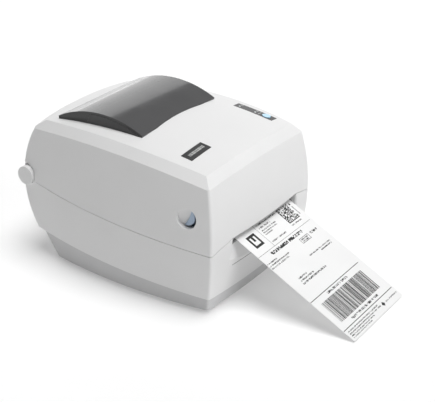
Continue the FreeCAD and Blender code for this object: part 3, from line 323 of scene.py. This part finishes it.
class Ink:
    """Raised marks on a surface, placed by a function from two flat coordinates in mm."""

    SINK, THICKNESS = 0.000005, 0.00006
    # the share of cells that are filled and of columns left empty, in a bold or a plain row
    BOLD, PLAIN, BOLD_HEIGHT = (0.78, 0.12), (0.6, 0.15), 3

    def __init__(self, surface, locate):
        self.surface, self.locate, self.solids = surface, locate, Solids()

    def shape(self, outline):
        """A mark with this outline."""
        spots = [self.locate(u, v) for u, v in outline]
        low = [self.surface.point(x, y, self.SINK) for x, y in spots]
        high = [self.surface.point(x, y, self.THICKNESS) for x, y in spots]
        self.solids.prism(low, high)

    def bar(self, left, top, right, bottom):
        """A rectangular mark."""
        self.shape([(left, bottom), (right, bottom), (right, top), (left, top)])

    def frame(self, left, top, right, bottom, stroke):
        """An open rectangle."""
        self.bar(left, top, right, top + stroke)
        self.bar(left, bottom - stroke, right, bottom)
        self.bar(left, top + stroke, left + stroke, bottom - stroke)
        self.bar(right - stroke, top + stroke, right, bottom - stroke)

    def mosaic(self, left, top, columns, rows, cell_u, cell_v, share, rng, words=0.0):
        """Random small cells; with words, some columns stay empty as between words."""
        for column in range(columns):
            if rng.random() < words:
                continue
            run = 0
            for row in range(rows + 1):
                filled = row < rows and rng.random() < share
                if filled:
                    run += 1
                elif run:
                    u, v = left + column * cell_u, top + (row - run) * cell_v
                    self.bar(u, v, u + cell_u * 0.94, v + run * cell_v)
                    run = 0

    def row(self, left, right, bottom, height, rng):
        """A line of small print that says nothing: dense random cells with gaps."""
        cell = height * 0.3
        columns = int((right - left) / cell)
        share, words = self.BOLD if height > self.BOLD_HEIGHT else self.PLAIN
        self.mosaic(left, bottom - height, columns, 3, cell, height / 3, share, rng, words)


# ---- the finishes of the CAD parts ------------------------------------------------

roll_axis = (0.0, 0.048, 0.102)
window_low, window_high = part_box("window")

FINISHES = {
    "shell": moulded("shell", (0.80, 0.80, 0.80), 0.5, 0.012, edge_highlight_and_wear=1.08),
    "plinth": moulded("plinth", (0.60, 0.60, 0.605), 0.55, 0.02, edge_highlight_and_wear=1.1),
    "black": moulded("black_plastic", (0.035, 0.035, 0.038), 0.45, 0.15, edge_highlight_and_wear=2.2),
    "acetal": polished("acetal", (0.70, 0.70, 0.67), 0.35),
    "rubber": moulded("rubber", (0.035, 0.035, 0.036), 0.8, 0.2, 900, 0.00008, 1.7),
    "zinc": metal("zinc_steel", (0.62, 0.62, 0.63), 0.34, 0),
    "shaft": metal("ground_shaft", (0.68, 0.68, 0.69), 0.22, 0),
    "aluminium": metal("aluminium", (0.74, 0.75, 0.76), 0.3, 0),
    "nickel": metal("nickel_plate", (0.72, 0.71, 0.69), 0.18, 1, 0.05),
    "motor": metal("motor_case", (0.45, 0.45, 0.46), 0.4, 0, 0.12),
    "ceramic": polished("head_ceramic", (0.74, 0.70, 0.62), 0.12),
    "board": circuit("circuit_board", (0.02, 0.13, 0.05), (0.75, 0.62, 0.32)),
    "chip": moulded("chip_epoxy", (0.02, 0.02, 0.022), 0.35, 0.2, 2400, 0.00002, 1.8),
    "latch": polished("latch_blue", (0.40, 0.51, 0.66), 0.18, Coat_Weight=0.4),
    "guide": polished("guide_blue", (0.10, 0.22, 0.42), 0.25),
    "button": polished("button_blue", (0.47, 0.75, 0.97), 0.2, 0.04, 1.05, Coat_Weight=0.3),
    "panel": polished("panel_dark", (0.052, 0.052, 0.053), 0.3, 0.05, 1.4),
    "lamp": polished("lamp", (0.86, 0.9, 0.9), 0.2,
                     Emission_Color=(0.9, 1, 0.95, 1), Emission_Strength=0.15),
    # the near-black second colour is painted shade on the window's end walls
    "window": smoked("smoked_window", (0.098, 0.098, 0.1), (0.006, 0.006, 0.007), window_high.x),
    "paper": paper("label_paper", (0.84, 0.84, 0.84)),
    "roll": wound_paper("wound_paper", (0.88, 0.88, 0.87), roll_axis),
    "core": cardboard("core_board", (0.42, 0.31, 0.2), roll_axis),
}
NODE_FINISHES = {
    "shell": ["lower_case", "top_cover", "front_bezel", "hinge_pin_left", "hinge_pin_right"],
    "plinth": ["base_plate"],
    "black": ["media_tray", "port_panel", "power_inlet", "switch_housing", "power_rocker",
              "gap_sensor"],
    "acetal": ["platen_bearing_left", "platen_bearing_right", "platen_gear", "idler_gear",
               "holder_pinion", "roll_holder_left", "roll_holder_right"],
    "rubber": ["rubber_foot_1", "rubber_foot_2", "rubber_foot_3", "rubber_foot_4",
               "platen_rubber"],
    "zinc": ["motor_bracket", "hinge_bracket_left", "hinge_bracket_right", "cover_frame",
             "case_screws", "frame_screws", "tear_bar"],
    "shaft": ["platen_shaft", "head_pivot_rod", "latch_shaft", "holder_pinion_pin", "motor_pinion",
              "head_spring_left", "head_spring_right"],
    "aluminium": ["head_cooling_bar"],
    "nickel": ["usb_socket"],
    "motor": ["stepper_motor"],
    "ceramic": ["thermal_head"],
    "board": ["main_board", "socket_board", "button_board"],
    "chip": ["board_components"],
    "latch": ["latch_lever_left", "latch_lever_right"],
    "guide": ["media_guide_left", "media_guide_right"],
    "button": ["feed_button"],
    "panel": ["control_panel", "name_plate"],
    "lamp": ["status_lights"],
    "window": ["window"],
    "paper": ["label_web", "printed_label"],
    "roll": ["label_roll"],
    "core": ["roll_core"],
}


def dress_cad_parts():
    """Give every CAD node its finish."""
    for finish, names in NODE_FINISHES.items():
        for name in names:
            item = nodes[name]
            item.data.materials.clear()
            item.data.materials.append(FINISHES[finish])


# ---- what is printed on the label -------------------------------------------------

# how far back the top edge of the printed face lies
LABEL_BEND = -0.106
# the square code: its left and top edge, the size of a cell and the cells in a row, in mm
CODE_LEFT, CODE_TOP, CODE_CELL, CODE_CELLS = 21.2, 3.4, 0.95, 21
# the small dashes beside it: how many, the first one and the step, in mm
DASHES, DASH_TOP, DASH_STEP, DASH_HEIGHT = 10, 9.6, 1.2, 0.7


def printed_marks():
    """A generic shipping label: a parcel sign, codes, rules and lines that say nothing."""
    label = Surface("printed_label")
    normal = label.normal(0.0, LABEL_BEND - 0.05)
    run = normal.z / math.hypot(normal.y, normal.z)
    def locate(u, v):
        return u * MM, LABEL_BEND - v * MM * run
    rng = random.Random(4)
    ink = Ink(label, locate)

    ink.frame(-41.5, 8.5, -27.5, 24.0, 2.7)
    ink.bar(-36.0, 11.0, -33.0, 17.0)
    ink.bar(-20.8, 0.6, -20.5, 31.8)
    ink.bar(-50.4, 32.0, 47.5, 32.3)
    for left, right, bottom, height in SMALL_PRINT:
        ink.row(left, right, bottom, height, rng)

    square_code(ink, rng)
    ink.bar(43.4, 5.0, 45.4, 7.4)
    for step in range(DASHES):
        top = DASH_TOP + step * DASH_STEP
        ink.bar(43.9, top, 45.2, top + DASH_HEIGHT)

    ink.frame(11.0, 42.0, 27.0, 48.3, 0.45)
    ink.bar(-50.0, 97.7, 44.5, 98.4)
    ink.bar(-50.0, 138.8, 48.8, 139.5)
    barcode(ink, -41.5, 38.5, 105.4, 131.4, rng)
    ink.shape([(20.0, 143.2), (22.6, 145.8), (20.0, 148.4), (17.4, 145.8)][::-1])
    return ink.solids.piece("label_print", print_black, "base")


# left, right, foot and height of each line of small print, in mm on the label
SMALL_PRINT = [
    (-17, 18, 5.6, 1.7), (-17, 3, 9.6, 1.9), (-17, 9, 12.9, 1.3),
    (-17, 8, 15.6, 1.3), (-17, -4, 18.2, 1.3),
    (-18, 8, 28.2, 1.5), (21, 39, 27.0, 1.5), (-33, 25, 38.4, 3.5),
    (13, 25, 44.8, 1.5), (13, 24, 47.2, 1.5),
    (31, 43.5, 45.0, 2.6), (3, 43, 62.4, 1.4), (22, 42.5, 65.2, 1.4),
    (-49.8, -33, 44.0, 1.5), (-49.8, -14, 47.0, 1.5), (-49.8, -18, 50.0, 1.5),
    (-35, -19.5, 73.6, 1.7), (-35.3, -9.5, 77.0, 1.7), (-36, 7.5, 80.6, 1.9),
    (-23, 16, 102.6, 2.3), (-27.6, 25.5, 136.4, 2.4),
    (-47.2, 13, 143.2, 1.3), (-47.2, 15.5, 145.8, 1.3),
    (-47.2, -2, 148.2, 1.3), (-47.2, -10, 150.4, 1.1),
    (25, 48.5, 146.4, 1.4),
]


def square_code(ink, rng):
    """Random cells in a square, with a solid left side and foot."""
    left, top, cell, inner = CODE_LEFT, CODE_TOP, CODE_CELL, CODE_CELLS - 1
    right, foot = left + cell * CODE_CELLS, top + cell * CODE_CELLS
    ink.bar(left, top, left + cell, foot)
    ink.bar(left, top + cell * inner, right, foot)
    ink.mosaic(left + cell, top, inner, inner, cell, cell, 0.52, rng)


def barcode(ink, left, right, top, bottom, rng):
    """Bars of random width side by side."""
    u = left
    while u < right - 2:
        wide = rng.choice((0.35, 0.35, 0.7, 0.7, 1.1, 1.5))
        ink.bar(u, top, u + wide, bottom)
        u += wide + rng.choice((0.35, 0.35, 0.5, 0.8, 1.1))


# in mm from the left front corner of the name plate: where its row of bars starts and ends
PLATE_ROW = (5.0, 27.0)
# in mm from the front of the control panel: the two lamps
PANEL_LAMPS = (22.5, 41.5)


def marks_on(node):
    """Marks laid out in mm from the left front corner of a plate in the roof."""
    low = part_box(node)[0]
    return Ink(Surface(node), lambda u, v: (low.x + u * MM, low.y + v * MM))


def roof_marks():
    """Pale marks on the name plate and the control panel: bars, a divider and triangles."""
    marks = marks_on("name_plate")
    rng = random.Random(11)
    u, end = PLATE_ROW
    while u < end:
        wide = rng.choice((0.45, 0.7, 1.0))
        marks.bar(u, 8.4, u + wide, 4.6)
        u += wide + rng.choice((0.5, 0.7, 1.0))
    marks.solids.piece("plate_marks", print_pale, "cover")

    marks = marks_on("control_panel")
    marks.bar(2.2, 18.0, 8.8, 17.4)
    for lamp in PANEL_LAMPS:
        marks.shape([(7.4, lamp - 0.3), (8.5, lamp + 1.5), (9.6, lamp - 0.3)][::-1])
        marks.bar(7.4, lamp - 0.9, 9.6, lamp - 1.4)
    marks.solids.piece("panel_marks", print_pale, "cover")


# how far back the dark sheets of painted shade in the window's end walls reach
SHADE_SHEET_END = 0.063


def painted_shade_sheets():
    """Dark grey sheets seen inside the two end walls of the window: painted shade for the dark
    inside of the printer.
    """
    cover, hood = Surface("top_cover"), Surface("window")
    reach = window_high.x
    start, end, columns, slant = window_low.y + 0.004, SHADE_SHEET_END, 24, 0.006
    for name, side in (("left", -1), ("right", 1)):
        face = side * (reach + 0.00002)
        outer = side * (reach + 0.0003)
        foot, crest = [], []
        for step in range(columns + 1):
            y = start + (end - start) * step / columns
            base = cover.point(side * (reach + 0.002), y).z + 0.0004
            top_y = y - slant * step / columns
            top = hood.point(side * (reach - 0.0006), top_y).z - 0.0026
            foot.append((y, base))
            crest.append((top_y, max(top, base + 0.0002)))
        outline = foot + crest[::-1]
        if side > 0:
            outline = outline[::-1]
        shade_sheet = Solids()
        shade_sheet.prism([(face, y, z) for y, z in outline], [(outer, y, z) for y, z in outline])
        shade_sheet.piece("window_shade_sheet_" + name, shade_sheet_grey, "cover")


SEAM_HALF_WIDTH, SEAM_FOOT, SEAM_HEIGHT = 0.0575, 0.0447, 0.00055


def bezel_seam_shadow():
    """A thin dark strip along the foot of the front bezel: painted shadow in the joint there."""
    trees = [Surface("front_bezel").tree, Surface("lower_case").tree]

    def front(x, z):
        """How far forward the front wall is at this place, and a hair more."""
        start = Vector((x, AHEAD_OF_ALL, z))
        hits = [tree.ray_cast(start, Vector((0, 1, 0)))[0] for tree in trees]
        return min(hit.y for hit in hits if hit) - 0.00006

    half, steps, foot, tall = SEAM_HALF_WIDTH, 16, SEAM_FOOT, SEAM_HEIGHT
    seam = Solids()
    for step in range(steps):
        left, right = (half * (2 * spot / steps - 1) for spot in (step, step + 1))
        corners = [(left, foot), (right, foot), (right, foot + tall), (left, foot + tall)]
        near = [(x, front(x, z), z) for x, z in corners]
        deep = [(x, y + 0.00005, z) for x, y, z in near]
        seam.prism(deep, near)
    return seam.piece("bezel_seam_shadow", seam_shadow_dark, "base")


# ---- floor, light and camera ------------------------------------------------------

# name, strength, angular size in degrees and direction of each distant light
SUNS = (("key", 2.68, 40, (0.04, -0.14, 1.0)), ("front", 0.85, 40, (0.12, -1.0, 0.34)))
# the glow behind, which the window mirrors
BACKDROP_PLACE = Vector((2.07, 1.40, 0.82))
FLOOR_HALF, FLOOR_DEPTH = 7.0, 0.02


def studio():
    """A light table for a floor, soft light from above and the front, a low glow behind."""
    floor = Solids()
    half = FLOOR_HALF
    corners = [(-half, -half), (half, -half), (half, half), (-half, half)]
    floor.prism([(x, y, -FLOOR_DEPTH) for x, y in corners], [(x, y, 0.0) for x, y in corners])
    mesh = bpy.data.meshes.new("floor")
    mesh.from_pydata(floor.points, [], floor.faces)
    ground = Finish("floor", Roughness=0.9)
    ground.colour(ground.mix(ground.noise(3, 2), (0.72, 0.72, 0.72), (0.74, 0.74, 0.74)))
    ground.shader.inputs["Emission Color"].default_value = (0.25, 0.25, 0.25, 1.0)
    ground.shader.inputs["Emission Strength"].default_value = 1.0
    mesh.materials.append(ground.material)
    item = bpy.data.objects.new("floor", mesh)
    bpy.context.scene.collection.objects.link(item)

    for name, energy, spread, source in SUNS:
        lamp = bpy.data.lights.new(name, "SUN")
        lamp.energy = energy
        lamp.angle = math.radians(spread)
        sun = bpy.data.objects.new(name, lamp)
        sun.rotation_mode = "QUATERNION"
        sun.rotation_quaternion = Vector(source).to_track_quat("Z", "Y")
        bpy.context.scene.collection.objects.link(sun)

    sheet = bpy.data.lights.new("backdrop", "AREA")
    sheet.shape = "RECTANGLE"
    sheet.size, sheet.size_y = 4.0, 1.6
    sheet.energy = 22.0
    backdrop = bpy.data.objects.new("backdrop", sheet)
    backdrop.location = BACKDROP_PLACE
    backdrop.rotation_mode = "QUATERNION"
    backdrop.rotation_quaternion = (BACKDROP_PLACE * Vector((1, 1, 0))).to_track_quat("Z", "Y")
    bpy.context.scene.collection.objects.link(backdrop)

    world = bpy.data.worlds.new("studio")
    world.use_nodes = True
    sky = world.node_tree.nodes["Background"]
    sky.inputs["Color"].default_value = (1.0, 1.0, 1.0, 1.0)
    sky.inputs["Strength"].default_value = 0.06
    bpy.context.scene.world = world
    bpy.context.scene.view_settings.view_transform = "Standard"


def camera():
    """A long lens from the front left, well above the roof."""
    azimuth, elevation = math.radians(-55.98), math.radians(26.34)
    level = math.cos(elevation)
    back = Vector((math.sin(azimuth) * level, -math.cos(azimuth) * level, math.sin(elevation)))
    data = bpy.data.cameras.new("camera")
    data.lens, data.sensor_width = 96.755, 36.0
    data.clip_start, data.clip_end = 0.05, 50.0
    item = bpy.data.objects.new("camera", data)
    item.location = (-0.88386, -0.64965, 0.60301)
    item.rotation_mode = "QUATERNION"
    item.rotation_quaternion = (-back).to_track_quat("-Z", "Y")
    bpy.context.scene.collection.objects.link(item)
    bpy.context.scene.camera = item


print_black = moulded("print_black", (0.018, 0.018, 0.018), 0.6, 0.1, edge_highlight_and_wear=1.0)
print_pale = moulded("print_pale", (0.62, 0.63, 0.62), 0.5, 0.05, edge_highlight_and_wear=1.0)
# painted shadow for the joint at the foot of the front bezel
seam_shadow_dark = moulded("seam_shadow_dark", (0.09, 0.09, 0.09), 0.7, 0.1, edge_highlight_and_wear=1.0)
# dark grey sheets of painted shade for the window's end walls
shade_sheet_grey = moulded("shade_sheet_grey", (0.05, 0.05, 0.051), 0.4, 0.06, edge_highlight_and_wear=1.2)

dress_cad_parts()
printed_marks()
roof_marks()
painted_shade_sheets()
bezel_seam_shadow()
studio()
camera()
